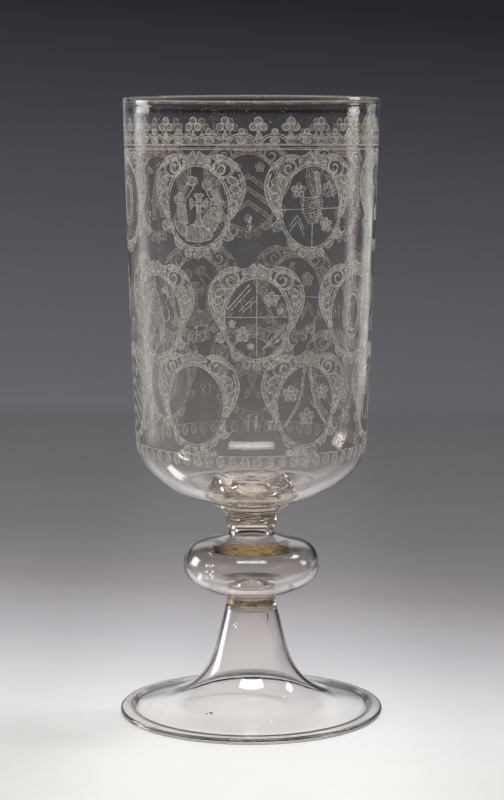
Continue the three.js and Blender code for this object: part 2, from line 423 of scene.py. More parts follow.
def clear_glass(name, tint, ripple_size, ring_marks, relief, shade, smoky_from=None, painted_shade_right=False):
    """Blown glass with slight ripples, browned above a height if one is given, and with a painted shade, a
    darker tint, on the right side of a cone and at the end of its disc if asked. Rays towards lamps pass it,
    dimmed by the shade at each surface."""
    nodes = new_material(name)
    values = {"Ripple Size": ripple_size, "Ring Marks": ring_marks}
    blown = nodes.add("Group", values, node_tree=BLOWN_SURFACE)
    bump = {"Height": blown["Height"], "Strength": 1.0, "Distance": relief * MM}
    colour = (*tint, 1)
    if smoky_from is not None:
        height = nodes.xyz(nodes.place())["Z"]
        browned = nodes.spread(height, smoky_from * MM, (smoky_from + 1.0) * MM)
        colour = nodes.blend(browned, colour, (*SMOKE, 1))
    # Painted shade: the cone's right side and the disc's end are tinted darker
    if painted_shade_right:
        part = nodes.xyz(nodes.place())
        cone = nodes.times(nodes.spread(part["X"], *CONE_SIDE), nodes.spread(part["Z"], *CONE_RISE))
        painted_shade_mix = nodes.most(cone, nodes.spread(part["X"], *DISC_END))
        colour = nodes.blend(painted_shade_mix, colour, (*PAINTED_SHADE_TINT, 1))
    look = {
        "Base Color": colour,
        "Transmission Weight": 1.0,
        "IOR": 1.5,
        "Roughness": nodes.times(blown["Dulled"], 0.05),
        "Normal": nodes.add("Bump", bump)["Normal"],
    }
    shadow = nodes.add("LightPath")["Is Shadow Ray"]
    return nodes.surface(nodes.between(shadow, nodes.principled(look), nodes.clear(grey(shade))))


def gilding(name, streak_scale, flatness, gold_share, cover, as_painted_reflection=False):
    """Gold leaf and amber stain under a skin of clear glass, torn open where its streaks are faint. Leaf
    drawn as a painted reflection fades out towards its left and right and at the back, and darkens towards
    its left and right as painted shade."""
    nodes = new_material(name)
    values = {"Streak Scale": streak_scale, "Flatness": flatness, "Gold Share": gold_share}
    leaf = nodes.add("Group", values, node_tree=LEAF_STREAKS)
    bump = {"Height": leaf["Height"], "Strength": 0.5, "Distance": 0.3 * MM}
    colour = leaf["Colour"]
    strength = leaf["Height"]
    # Painted reflection with painted shade: the ring fades out aside and at the back, and darkens to brown
    # aside
    if as_painted_reflection:
        part = nodes.xyz(nodes.place())
        aside = nodes.size(part["X"])
        thin_back = nodes.spread(part["Y"], *RING_FADES_BACK)
        faded_out = nodes.most(nodes.spread(aside, *RING_FADES_ASIDE), thin_back)
        strength = nodes.minus(strength, nodes.times(faded_out, 2 * LEAF_RANGE))
        colour = nodes.blend(nodes.spread(aside, *RING_PAINTED_SHADE_ASIDE), colour, (*PAINTED_SHADE_BROWN, 1))
    look = {
        "Base Color": colour,
        "Metallic": leaf["Metal"],
        "Roughness": leaf["Roughness"],
        "Normal": nodes.add("Bump", bump)["Normal"],
    }
    edge = 0.5 + LEAF_RANGE * (0.5 - cover)
    whole = nodes.spread(strength, edge - LEAF_FEATHER, edge + LEAF_FEATHER)
    behind = nodes.add("NewGeometry")["Backfacing"]
    kept = nodes.times(whole, nodes.spread(behind, 0.0, 1.0, 1.0, LEAF_FROM_BEHIND))
    return nodes.surface(nodes.between(kept, nodes.clear(STAIN), nodes.principled(look)))


def amber_film(name):
    """Painted reflection: an amber outline on a curved face, nearly clear where it faces the eye, brown where
    it turns away.
    """
    nodes = new_material(name)
    values = {"Streak Scale": 300.0, "Flatness": 2.0, "Gold Share": 0.4}
    leaf = nodes.add("Group", values, node_tree=LEAF_STREAKS)
    browned = nodes.blend(0.6, leaf["Colour"], (*OUTLINE_BROWN, 1))
    stain = nodes.principled({"Base Color": browned, "Roughness": leaf["Roughness"]})
    turned_away = nodes.add("LayerWeight", {"Blend": 0.5})["Facing"]
    film = nodes.times(nodes.spread(turned_away, 0.6, 0.95, 0.25, 0.8), leaf["Height"])
    return nodes.surface(nodes.between(nodes.times(film, 1.6), nodes.clear(), stain))


def grimy(name, shade, cover):
    """A thin dark line, broken here and there: painted shade in the crevice of the foot's fold, and dark
    grains in the glass.
    """
    nodes = new_material(name)
    place = nodes.place()
    grains = nodes.noise(place, 900.0, 2.0)
    colour = nodes.ramp(grains, (0.35, tuple(0.6 * channel for channel in shade)), (0.65, shade))
    dark_shader = nodes.principled({"Base Color": colour, "Roughness": 0.7})
    kept = nodes.times(nodes.spread(nodes.noise(place, 60.0), 0.3, 0.6, 0.6, 1.0), cover)
    return nodes.surface(nodes.between(kept, nodes.clear(), dark_shader))


def bubble(name):
    """A seed of air in the glass, drawn as a white dot with a soft edge that glows: a painted highlight."""
    nodes = new_material(name)
    patches = nodes.noise(nodes.place(), 1500.0, 2.0, 0.5)
    dimmed = nodes.ramp(patches, (0.3, grey(0.75)), (0.6, grey(0.95)))
    # Painted highlight: emission makes the dot glow
    look = {"Base Color": dimmed, "Roughness": 0.25, "Emission Color": dimmed, "Emission Strength": 0.8}
    edge = nodes.spread(nodes.add("LayerWeight", {"Blend": 0.5})["Facing"], 0.5, 0.95)
    return nodes.surface(nodes.between(edge, nodes.principled(look), nodes.clear()))


def residue_film(name, back, aside, cover):
    """A dark smeared film inside a hollow: thickest at the back, gone towards front and sides over the two
    given ranges of metres. Under the foot's cone it is painted shade."""
    nodes = new_material(name)
    place = nodes.place()
    part = nodes.xyz(place)
    smears = nodes.noise(place, 160.0, stretch=(0.5, 1.0, 1.0))
    colour = nodes.ramp(smears, (0.3, srgb(62, 58, 54)), (0.7, srgb(96, 90, 84)))
    dark_shader = nodes.principled({"Base Color": colour, "Roughness": 0.6})
    middle = nodes.spread(nodes.size(part["X"]), *aside, 1.0, 0.0)
    depth = nodes.times(nodes.spread(part["Y"], *back), middle)
    kept = nodes.times(depth, nodes.spread(smears, 0.35, 0.6, 0.4 * cover, cover))
    return nodes.surface(nodes.between(kept, nodes.clear(), dark_shader))


def frosted_cut(name, skips, strength):
    """A scratch in glass: pale, matt and lit from either side, with bare glass where the point skipped."""
    nodes = new_material(name)
    grain = nodes.add("Group", {"Skips": skips}, node_tree=CUT_GRAIN)
    front = nodes.principled({"Base Color": grain["Colour"], "Roughness": 0.6})
    back = nodes.add("BsdfTranslucent", {"Color": grain["Colour"]})[0]
    behind = nodes.add("NewGeometry")["Backfacing"]
    share = nodes.minus(strength, nodes.times(behind, strength * SEEN_FROM_BEHIND))
    cut = nodes.between(0.4, front, back)
    return nodes.surface(nodes.between(nodes.times(grain["Cover"], share), nodes.clear(), cut))


def drawn_leaf(name, cover, gold_share=0.45, as_painted_reflection=False):
    return gilding(name, 230.0, 7.0, gold_share, cover, as_painted_reflection)


bowl_glass = clear_glass("bowl_glass", ROSE_GREY, 1.0, 0.5, 0.22, 0.97, smoky_from=BOWL_TOP - 2.8)
stem_glass = clear_glass("stem_glass", WATER_WHITE, 1.2, 1.0, 0.12, 0.95)
knop_glass = clear_glass("knop_glass", PEWTER, 1.2, 1.0, 0.12, 0.95)
foot_glass = clear_glass("foot_glass", WATER_WHITE, 1.0, 1.0, 0.10, 0.98, painted_shade_right=True)
drawn_gilding = drawn_leaf("drawn_gilding", 0.6)
worn_gilding = drawn_leaf("worn_gilding", 0.28, gold_share=0.3)
flecked_gilding = gilding("flecked_gilding", 420.0, 2.0, 0.6, 0.85)
shoulder_painted_reflection = drawn_leaf("shoulder_painted_reflection", 0.8, as_painted_reflection=True)
inner_gilding = drawn_leaf("inner_gilding", 0.12)
bubble_painted_highlight = bubble("bubble_painted_highlight")
# A dark film on the knop's floor, darkest at the back
dark_floor_film = residue_film("dark_floor_film", back=(0.002, 0.014), aside=(0.006, 0.02), cover=0.5)
# Painted shade: a dark arc under the foot where the cone opens out
throat_painted_shade = residue_film("throat_painted_shade", back=(-0.001, 0.010), aside=(0.018, 0.031), cover=0.6)
dome_painted_outline = amber_film("dome_painted_outline")
# Painted shade for the fold's dark lines, also used for dark grains in the glass
dirt_and_painted_shade = grimy("rim_grime", DIRT_AND_SHADE, 0.85)
line_cut = frosted_cut("line_cut", 0.45, 1.0)


# Glass pieces

FOOT_RADIUS = 58.0
FOOT_TOP_RADIUS = 11.05
FOLD_WIDTH = 6.0
FOLD_LAYER = 1.4
FOLD_INNER = FOOT_RADIUS - FOLD_WIDTH
CONE_WALL = 1.4
CONE_SLOPE = 4.0
CROWN_WALL = 1.4
CROWN_ROUNDING = 1.2
CROWN = FOOT_TOP - CROWN_WALL
THROAT_RADII = (26.5, 30.5)


def foot_pieces():
    """Trumpet cone and disc in one sheet, with a thick crown under the lower collar, and a dark film below it
    where the cone opens out, which is painted shade."""
    edge = at(FOOT_RADIUS - FOLD_LAYER, 2 * FOLD_LAYER)
    disc = at(38.5, 6.1)
    flare = at(31.0, 9.0)
    cone = at(15.8, FOOT_TOP - 19.1)
    upper = outline(
        sweep(edge, LEVEL, disc, sloping(-0.2)),
        sweep(disc, sloping(-0.2), flare, sloping(-0.55)),
        sweep(flare, sloping(-0.55), cone, sloping(-CONE_SLOPE), 0.65),
    )
    under = inset(upper, FOLD_LAYER, CONE_WALL)
    under = under[under[:, 0] < FOLD_INNER - FOLD_LAYER][::-1]
    crown_radius = FOOT_TOP_RADIUS - CONE_WALL + CROWN_WALL / CONE_SLOPE
    crown_side = at(crown_radius + CROWN_ROUNDING / CONE_SLOPE, CROWN - CROWN_ROUNDING)
    profile = outline(
        at(0, CROWN),
        rounding(at(crown_radius - CROWN_ROUNDING, CROWN), LEVEL, crown_side, sloping(-CONE_SLOPE)),
        under,
        at(FOLD_INNER, FOLD_LAYER),
        rounding(at(FOOT_RADIUS, FOLD_LAYER), UPRIGHT, edge, LEVEL),
        upper,
        at(FOOT_TOP_RADIUS, FOOT_TOP),
        at(0, FOOT_TOP),
    )
    # Painted shade lining the throat
    throat = lining(upper, FOLD_LAYER + 0.15, CONE_WALL + 0.15, THROAT_RADII, 0.1)
    return (
        turned("trumpet_foot", 0, profile, foot_glass),
        turned("throat_painted_shade", 0, throat, throat_painted_shade),
    )


def fold_piece():
    """The rim of the foot turned under: a flat band below the disc, with a thin wedge of air at its lip."""
    lip = at(FOLD_INNER, FOLD_LAYER - 0.45)
    lip_end = at(FOLD_INNER + 0.5, FOLD_LAYER - 0.2)
    profile = outline(
        rounding(lip_end, LEVEL, lip, UPRIGHT),
        rounding(at(FOLD_INNER, 0.5), UPRIGHT, at(FOLD_INNER + 0.5, 0), LEVEL),
        rounding(at(FOOT_RADIUS - FOLD_LAYER, 0), LEVEL, at(FOOT_RADIUS, FOLD_LAYER + FUSE), UPRIGHT),
        at(FOLD_INNER + 1.7, FOLD_LAYER + FUSE),
        lip_end,
    )
    return turned("turned_under_rim", 0, profile, foot_glass)


# Inner radius, width, height and middle height of each painted shade line in the fold: at its lip, a fainter
# one further in, and one near its edge
FOLD_SHADE_BANDS = (
    (FOLD_INNER - 0.6, 0.55, 0.4, 1.15),
    (FOLD_INNER + 0.5, 0.4, 0.3, 1.3),
    (FOOT_RADIUS - 1.2, 0.3, 0.2, 0.9),
)


def rim_grime():
    """Painted shade: dark lines in the crevice of the fold, a small rectangle carried round for each band."""
    pieces = []
    for number, (inner, width, tall, middle) in enumerate(FOLD_SHADE_BANDS, 1):
        corners = ((0, -0.5), (1, -0.5), (1, 0.5), (0, 0.5), (0, -0.5))
        profile = outline(*[at(inner + across * width, middle + up * tall) for across, up in corners])
        pieces += [turned(f"rim_grime_{number}", 0, profile, dirt_and_painted_shade)]
    return pieces


def scar_piece():
    """The rough stub left where the iron was broken off."""
    height = 0.9
    break_face = at(3.4, 0)
    shank = sweep(break_face, UPRIGHT, at(6.0, height + FUSE), LEVEL)
    profile = outline(at(0, 0.4), break_face, shank, at(0, height + FUSE))
    return turned("broken_stub", CROWN - height, profile, foot_glass, segments=96)


def faint_within(piece):
    """Gives the faces of a piece that look towards the axis the thin inner gilding."""
    mesh = piece.data
    centres = np.empty(3 * len(mesh.polygons))
    normals = np.empty(3 * len(mesh.polygons))
    mesh.polygons.foreach_get("center", centres)
    mesh.polygons.foreach_get("normal", normals)
    inwards = (centres.reshape(-1, 3) * normals.reshape(-1, 3))[:, :2].sum(axis=1) < 0
    mesh.materials.append(inner_gilding)
    mesh.polygons.foreach_set("material_index", inwards.astype(np.int32))
    return piece


DOME_RADIUS = 5.8
DOME_RISE = 5.4


def lower_collar_pieces():
    """A short drum with a dome: a body of glass with flecked leaf wrapped just under its side."""
    top = KNOP_Z - FOOT_TOP
    skin = outline(
        at(0, -FUSE),
        at(FOOT_TOP_RADIUS, -FUSE),
        at(FOOT_TOP_RADIUS, top + FUSE),
        at(DOME_RADIUS, top + FUSE),
        sweep(at(DOME_RADIUS, top + 0.1), UPRIGHT, at(0, top + DOME_RISE), LEVEL),
    )
    leaf = sleeve(outline(at(10.4, 0.3), at(10.65, 0.6), at(10.65, top - 0.6), at(10.5, top - 0.2)), 0.35)
    # The dome's amber outline is a painted reflection
    film_top = at(1.2, top + DOME_RISE - 0.4)
    film = sleeve(sweep(at(DOME_RADIUS - 0.3, top + 0.2), UPRIGHT, film_top, LEVEL), 0.25)
    return (
        turned("lower_collar_skin", FOOT_TOP, skin, stem_glass),
        faint_within(turned("lower_collar_leaf", FOOT_TOP, leaf, flecked_gilding)),
        turned("dome_painted_outline_film", FOOT_TOP, film, dome_painted_outline),
    )


NECK_RADIUS = 9.8
FLOOR_FILM_RADII = (12.0, 20.5)
SHOULDER_REFLECTION_RADII = (14.0, 25.0)


def knop_pieces():
    """A thin-walled flattened bulb, pushed up from below round the dome, whose neck ends under the collar, a
    ring drawn as leaf in its shoulder that is a painted reflection, and a dark film on its floor, darkest at
    the back."""
    hollow_radius = DOME_RADIUS + 0.3
    hollow_top = DOME_RISE + 0.3
    floor_wall = 2.2
    side_wall = 1.8
    height = UPPER_COLLAR_Z - KNOP_Z
    equator = at(29.85, 14.0)
    shoulder = at(20.0, 25.3)
    underside = sweep(at(FOOT_TOP_RADIUS, 0.3), sloping(0.25), equator, UPRIGHT, 0.68)
    upper = outline(
        sweep(equator, UPRIGHT, shoulder, sloping(-0.2), 0.68),
        rounding(shoulder, sloping(-0.2), at(NECK_RADIUS, height - 2.9), UPRIGHT),
        at(NECK_RADIUS, height + FUSE),
    )
    crown_radius = hollow_radius + floor_wall
    inner_floor = inset(underside, floor_wall, side_wall)
    inner_floor = inner_floor[inner_floor[:, 0] > crown_radius + floor_wall / 2][::-1]
    bulb = outline(
        sweep(at(0, hollow_top), LEVEL, at(hollow_radius, 0), UPRIGHT),
        at(FOOT_TOP_RADIUS, 0),
        underside,
        upper,
        inset(upper, side_wall, side_wall)[::-1],
        inner_floor,
        sweep(at(crown_radius, inner_floor[-1, 1]), UPRIGHT, at(0, hollow_top + floor_wall), LEVEL),
    )
    film = lining(underside, floor_wall + 0.05, side_wall + 0.05, FLOOR_FILM_RADII, 0.1)
    # The shoulder ring is a painted reflection, drawn as a sleeve of leaf
    ring = lining(upper, 1.1, 1.1, SHOULDER_REFLECTION_RADII, 0.3)
    return (
        turned("hollow_knop", KNOP_Z, bulb, knop_glass),
        turned("knop_shoulder_painted_reflection", KNOP_Z, ring, shoulder_painted_reflection),
        turned("knop_dark_floor_film", KNOP_Z, film, dark_floor_film),
    )


BASE_RADIUS = 20.5
SPREAD = sloping(0.47)


def upper_collar_pieces():
    """A waisted ring that spreads under the bowl: a body of glass, a sleeve of drawn-out leaf under its
    waist, and a thin ring of leaf where it meets the bowl."""
    height = BOWL_Z - UPPER_COLLAR_Z
    skin = outline(
        sweep(at(0, 6.5), LEVEL, at(8.0, -FUSE), UPRIGHT),
        at(10.7, -FUSE),
        sweep(at(11.7, 5.2), UPRIGHT, at(BASE_RADIUS, height - 0.3), SPREAD),
        at(BASE_RADIUS, height + FUSE),
        at(0, height + FUSE),
    )
    waist = sweep(at(11.2, 5.0), UPRIGHT, at(13.6, 9.2), sloping(1.0))
    leaf = sleeve(outline(at(10.1, 2.6), waist), 0.35)
    joint = sleeve(outline(at(19.0, height - 0.8), at(19.9, height - 0.4), at(20.2, height - 0.15)), 0.3)
    return (
        turned("upper_collar_skin", UPPER_COLLAR_Z, skin, stem_glass),
        faint_within(turned("upper_collar_leaf", UPPER_COLLAR_Z, leaf, drawn_gilding)),
        faint_within(turned("bowl_joint_leaf", UPPER_COLLAR_Z, joint, worn_gilding)),
    )


FLOOR_WALL = 3.0
CORNER_WALL = 2.7
BOWL_WALL = 1.5
BOWL_HEIGHT = BOWL_TOP - BOWL_Z
KICK_TOP = FLOOR_WALL + 7.0
BEAD_HEIGHT = 2.2
BEAD_SWELLING = 0.07
LIP = at(55.1, BOWL_HEIGHT - BOWL_WALL / 2)
SHOULDER = at(50.4, 26.2)
BELLY = at(28.7, 2.9)
rounded_base = outline(
    sweep(at(BASE_RADIUS, 0), SPREAD, BELLY, sloping(0.11)),
    sweep(BELLY, sloping(0.11), SHOULDER, sloping(20.0), 0.17, 0.73),
)
outer_wall = sweep(SHOULDER, sloping(20.0), LIP, sloping(65.0))
outer_bowl = outline(rounded_base, outer_wall)


# The push-up's hexagon: the radius where it has faded out, over how far it fades, and the same upwards
HEXAGON_END = 21.0
HEXAGON_FADE = 5.0
HEXAGON_START = 2.6
HEXAGON_RISE = 3.0


def hexagonal(theta, radius, height):
    """The push-up's plan: a circle drawn in to a hexagon whose flats face front and back, fading outwards."""
    radius, height = settled(theta, radius, height)
    flat = (theta + np.pi / 6) % (np.pi / 3) - np.pi / 6
    drawn_in = math.cos(np.pi / 6) / np.cos(flat)
    within = np.clip((HEXAGON_END - radius) / HEXAGON_FADE, 0, 1)
    above = np.clip((height - BOWL_Z - HEXAGON_START) / HEXAGON_RISE, 0, 1)
    return radius * (1 - within * above * (1 - drawn_in)), height


def bowl_piece():
    """The blown cylinder: recess, rounded base, wall, lip with a slight bead, then the inside down to the
    push-up. The bead swells by the sine of the share of its height."""
    lip_top = at(LIP[0] - BOWL_WALL / 2, BOWL_HEIGHT)
    inside_wall = inset(outer_wall, CORNER_WALL, BOWL_WALL)[::-1]
    share = np.linspace(0, 1, 13)[:, None]
    swelling = np.hstack([BEAD_SWELLING * np.sin(np.pi * share), -BEAD_HEIGHT * share])
    recess_top = KICK_TOP - 3.0
    profile = outline(
        at(0, recess_top),
        sweep(at(9.0, recess_top), LEVEL, at(13.0, 0), UPRIGHT),
        outer_bowl[:-1],
        (LIP + swelling)[::-1],
        rounding(LIP, UPRIGHT, lip_top, LEVEL),
        rounding(lip_top, LEVEL, inside_wall[0], UPRIGHT),
        inside_wall[0] + swelling * [-1, 1],
        inside_wall[1:],
        inset(rounded_base, FLOOR_WALL, CORNER_WALL)[::-1],
        rounding(at(18.8, FLOOR_WALL), sloping(-2.2), at(15.0, KICK_TOP), LEVEL),
        at(0, KICK_TOP),
    )
    return turned("blown_bowl", BOWL_Z, profile, bowl_glass, hexagonal)


stands_for = (
    ("foot", "foot_glass", foot_pieces()),
    ("foot_fold", "foot_glass", [fold_piece(), *rim_grime()]),
    ("pontil_scar", "foot_glass", [scar_piece()]),
    ("lower_collar", "gilded_glass", lower_collar_pieces()),
    ("knop", "stem_glass", knop_pieces()),
    ("upper_collar", "gilded_glass", upper_collar_pieces()),
    ("bowl", "bowl_glass", [bowl_piece()]),
)
for node, slot, pieces in stands_for:
    for piece in pieces:
        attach(piece, "root")
        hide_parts(node)

# Small flaws: degrees round the axis, radius, height, half width and half height of each
BUBBLES = (
    (-37, 12.5, 40.9, 0.4, 0.4), (-31.7, 12.7, 40, 0.45, 0.4), (-31.7, 12.3, 41.7, 0.3, 0.3),
    (-42.3, 28.4, 69.6, 0.5, 0.5), (-41.3, 28.9, 67.1, 0.5, 0.5), (-41.3, 28.9, 64.5, 0.45, 0.45),
    (-35.8, 28.3, 70, 0.5, 0.5), (-35, 28.8, 67.5, 0.5, 0.5), (-34.8, 29, 64.9, 0.45, 0.45),
    (-43, 9.2, 82.2, 0.7, 0.7), (48.2, 9.2, 80.7, 0.65, 0.65), (32.8, 25.6, 11.4, 0.4, 0.3),
)
GRAINS = (
    (38, 11.4, 45, 0.25, 1.5), (36, 11.9, 43.2, 0.2, 0.8), (-74, 11.6, 44.6, 0.35, 0.5),
    (-65, 11.8, 43.7, 0.3, 0.55), (-72, 12.2, 42.1, 0.3, 0.5), (-30, 35, 6.5, 0.7, 0.25),
    (-32, 36.4, 6.3, 0.55, 0.25), (-28.4, 35.8, 6.4, 0.55, 0.25), (-81, 45, 3.3, 0.3, 0.15),
    (-60, 45.5, 3.2, 0.3, 0.15), (-72.7, 48.4, 2.5, 0.3, 0.15), (-68, 42, 4, 0.25, 0.15),
    (-76, 40.5, 4.4, 0.25, 0.15), (-54, 43, 3.8, 0.25, 0.15), (61, 47, 2.8, 0.3, 0.15),
)


def flaws(name, spots, material):
    """Small ellipsoids at the given places: cosine and sine of latitude by longitude, times half sizes."""
    around = 10
    upwards = 6
    longitude = np.linspace(0, 2 * np.pi, around, endpoint=False)[None, :]
    latitude = np.linspace(-np.pi / 2, np.pi / 2, upwards + 1)[1:-1, None]
    level = np.cos(latitude)
    across = (level * np.cos(longitude), level * np.sin(longitude))
    ring = np.stack([*across, np.sin(latitude) + 0 * longitude], axis=-1)
    ball_points = np.vstack([ring.reshape(-1, 3), [[0, 0, -1], [0, 0, 1]]])
    index = np.arange((upwards - 1) * around).reshape(upwards - 1, around)
    ahead = np.roll(index, -1, axis=1)
    ball_faces = np.stack([index[:-1], ahead[:-1], ahead[1:], index[1:]], axis=-1).reshape(-1, 4).tolist()
    ball_faces += [[index.size, b, a] for a, b in zip(index[0], ahead[0])]
    ball_faces += [[index.size + 1, a, b] for a, b in zip(index[-1], ahead[-1])]
    points = []
    faces = []
    for number, (degrees, radius, height, half_width, half_height) in enumerate(spots):
        theta = math.radians(degrees)
        middle = np.array([radius * math.sin(theta), -radius * math.cos(theta), height])
        points += [middle + ball_points * [half_width, half_width, half_height]]
        faces += [[int(corner) + number * len(ball_points) for corner in face] for face in ball_faces]
    piece = mesh_piece(name, np.vstack(points), faces, material)
    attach(piece, "root")


# The bubbles glow white as painted highlights
flaws("bubbles_in_glass", BUBBLES, bubble_painted_highlight)
flaws("grains_in_glass", GRAINS, dirt_and_painted_shade)

# Engraving: strokes are drawn on the unrolled wall, then laid on the bowl as thin ribbons
CUT_WIDTH = 0.4
HATCH_WIDTH = 0.26
SPECK_WIDTH = 0.24
DIGIT_WIDTH = 0.5
CUT_LIFT = 0.03
UNROLLED = 53.0
STROKE_STEP = 1.3
UV_METRE = 400


def bent(points):
    """A polyline with more points, none further apart than a step, so that it can follow the wall."""
    lengths = np.linalg.norm(np.diff(points, axis=0), axis=1)
    pieces = np.maximum(np.ceil(lengths / STROKE_STEP).astype(int), 1)
    place = np.concatenate([[0], np.cumsum(pieces)])
    wanted = np.arange(place[-1] + 1)
    return np.column_stack([np.interp(wanted, place, points[:, axis]) for axis in (0, 1)])


def lines(*runs, width=CUT_WIDTH):
    """A straight-edged stroke along each run of points."""
    return [(np.array(run, float), width) for run in runs]


def edged(*points):
    """A straight-edged closed outline."""
    return lines((*points, points[0]))


def through(*points, steps=5):
    """A smooth curve through points: each span is the Catmull-Rom blend of its four nearest."""
    knots = np.array(points, float)
    padded = np.vstack([2 * knots[0] - knots[1], knots, 2 * knots[-1] - knots[-2]])
    share = np.linspace(0, 1, steps, endpoint=False)[None, :, None]
    a, b, c, d = (padded[k : len(padded) - 3 + k, None, :] for k in range(4))
    span = b + 0.5 * share * (c - a + share * (2 * a - 5 * b + 4 * c - d + share * (3 * (b - c) + d - a)))
    return [(np.vstack([span.reshape(-1, 2), knots[-1:]]), CUT_WIDTH)]


def closed(*points, steps=4):
    """A smooth closed outline through points."""
    return through(*points, points[0], steps=steps)


def oval(x, y, half_width, half_height, lean=0.0, steps=20):
    """An ellipse: cosine and sine of the turn times its half sizes, leant over, about its centre."""
    turn = np.linspace(0, 2 * np.pi, steps + 1)
    across = half_width * np.cos(turn)
    up = half_height * np.sin(turn)
    spun_across = across * math.cos(lean) - up * math.sin(lean)
    spun_up = across * math.sin(lean) + up * math.cos(lean)
    return [(np.column_stack([x + spun_across, y + spun_up]), CUT_WIDTH)]


def hatched(shape, slope, pitch):
    """Parallel cuts across a closed outline, each kept between its crossings with the edges."""
    along = np.array([math.cos(slope), math.sin(slope)])
    off = np.array([-along[1], along[0]])
    points = shape[0][0]
    u = points @ along
    v = points @ off
    cuts = []
    for level in np.arange(v.min() + pitch / 2, v.max(), pitch):
        crossed = (v[:-1] - level) * (v[1:] - level) < 0
        share = (level - v[:-1][crossed]) / (v[1:] - v[:-1])[crossed]
        ends = np.sort(u[:-1][crossed] + share * (u[1:] - u[:-1])[crossed])
        for low, high in zip(ends[::2], ends[1::2]):
            cuts += [(np.array([low * along + level * off, high * along + level * off]), HATCH_WIDTH)]
    return cuts


def filled(shape, slope=1.0, pitch=0.5):
    return shape + hatched(shape, slope, pitch)


def ladder(one, two, count, slant=0):
    """Short cuts between two curves: rung k joins the same share of both, slanted by a number of points."""
    places = np.linspace(0, 1, count)
    ends = []
    for points, lag in ((one, 0), (two, slant)):
        share = np.linspace(0, 1, len(points))
        wanted = np.clip(places + lag / len(points), 0, 1)
        ends += [np.column_stack([np.interp(wanted, share, points[:, axis]) for axis in (0, 1)])]
    return [(np.array(rung), HATCH_WIDTH) for rung in zip(*ends)]


def moved(strokes, x=0.0, y=0.0, scale=1.0, mirror=1, lean=0.0):
    """Strokes mirrored, leant over, scaled and shifted."""
    c = math.cos(lean)
    s = math.sin(lean)
    matrix = scale * np.array([[c * mirror, s * mirror], [-s, c]])
    return [(points @ matrix + [x, y], width) for points, width in strokes]


def both(strokes):
    """Strokes with their mirror image on the left."""
    return strokes + moved(strokes, mirror=-1)


def ball(x, y, radius):
    return filled(oval(x, y, radius, radius, steps=14), 0.8, 0.75)


def rose(x, y, size):
    """Five petals round a ringed heart."""
    strokes = oval(x, y, 0.22 * size, 0.22 * size, steps=10)
    reach = 0.58 * size
    for turn in np.arange(5) * 2 * np.pi / 5 + np.pi / 2:
        petal = oval(x + reach * math.cos(turn), y + reach * math.sin(turn), 0.4 * size, 0.34 * size, turn)
        strokes += filled(petal, turn + 0.5, 0.55)
    return strokes


# Charges inside the cartouches, all general heraldic figures, drawn about the middle of their oval


def posts():
    """The two hatched posts beside the cross: each has a cap, two bars and a slanting rod with a ring."""
    strokes = filled(edged((-9.4, -6.8), (-9.9, 0.2), (-6, 0.4), (-4.8, -7.4)), 1.5)
    strokes += filled(edged((-11.6, 2.8), (-9, 5.2), (-8, 4.8), (-5.8, 2.6)), 1.2)
    right = ((1.8, -8.6), (2.6, -4), (5, -1.2), (9.4, -1.6), (9.6, -4.6), (7.8, -8.4), (6, -10.6))
    strokes += filled(closed(*right), 1.2)
    strokes += filled(edged((5, 1.2), (6.2, 3.4), (8.4, 3.4), (11, 1.2)), 1.9)
    strokes += lines(((-11.8, 2.1), (-5.3, 1.9)), ((-11.2, 1), (-5.5, 0.9)))
    strokes += lines(((4.8, 0.6), (10.8, 0.5)), ((5, -0.4), (10.4, -0.5)))
    strokes += lines(((-8.4, 5.2), (-4.4, 9.4)), ((-5.4, 3), (-1.6, 8.2)))
    strokes += lines(((7, 7.2), (11.2, 1.4)), ((3.4, 6.6), (5.6, 2.4)))
    strokes += ladder(np.array([(4.4, 7.2), (7, 3.4)]), np.array([(6.2, 7.6), (8.8, 3.8)]), 9)
    return strokes + ball(-2.8, 10.2, 1.9) + oval(-1, 10.3, 0.9, 1.5, steps=10) + ball(4, 8.9, 2.1)


def cross():
    """A flared cross on round mounts between two posts."""
    half_arm = ((0.5, 0.7), (2, 0.75), (3.1, 2.1), (3.7, 0.7))
    arm = edged(*half_arm, (3.3, 0), *[(x, -y) for x, y in half_arm[::-1]])
    stem = edged((-0.75, -0.6), (-0.8, -5.4), (-2.2, -8.2), (2, -8.2), (0.8, -5.4), (0.75, -0.6))
    strokes = filled(stem, 1.5, 0.45)
    for lean in (0, np.pi / 2, np.pi):
        strokes += moved(filled(arm, 0.2, 0.45), lean=lean)
    strokes = moved(strokes, 0.2, 1.0, 1.15)
    middle = ((-5.9, -14.4), (-5.8, -11.2), (-4.4, -8.4), (-2, -7.6), (0.6, -8.6), (2, -11.4), (1.4, -14.8))
    right = ((1.9, -14.2), (2.3, -10.6), (3.6, -9), (5.2, -9.9), (6, -12.2), (4.6, -13.8))
    left = ((-11.4, -7), (-9.2, -6.7), (-6.8, -7.4), (-5.2, -9.2), (-6.6, -12.6), (-9.6, -10.8))
    for mount, slope in ((middle, 1.5), (right, 1.3), (left, 1.0)):
        strokes += filled(closed(*mount), slope, 0.6)
    return moved(strokes + posts(), 0.7, -0.3)


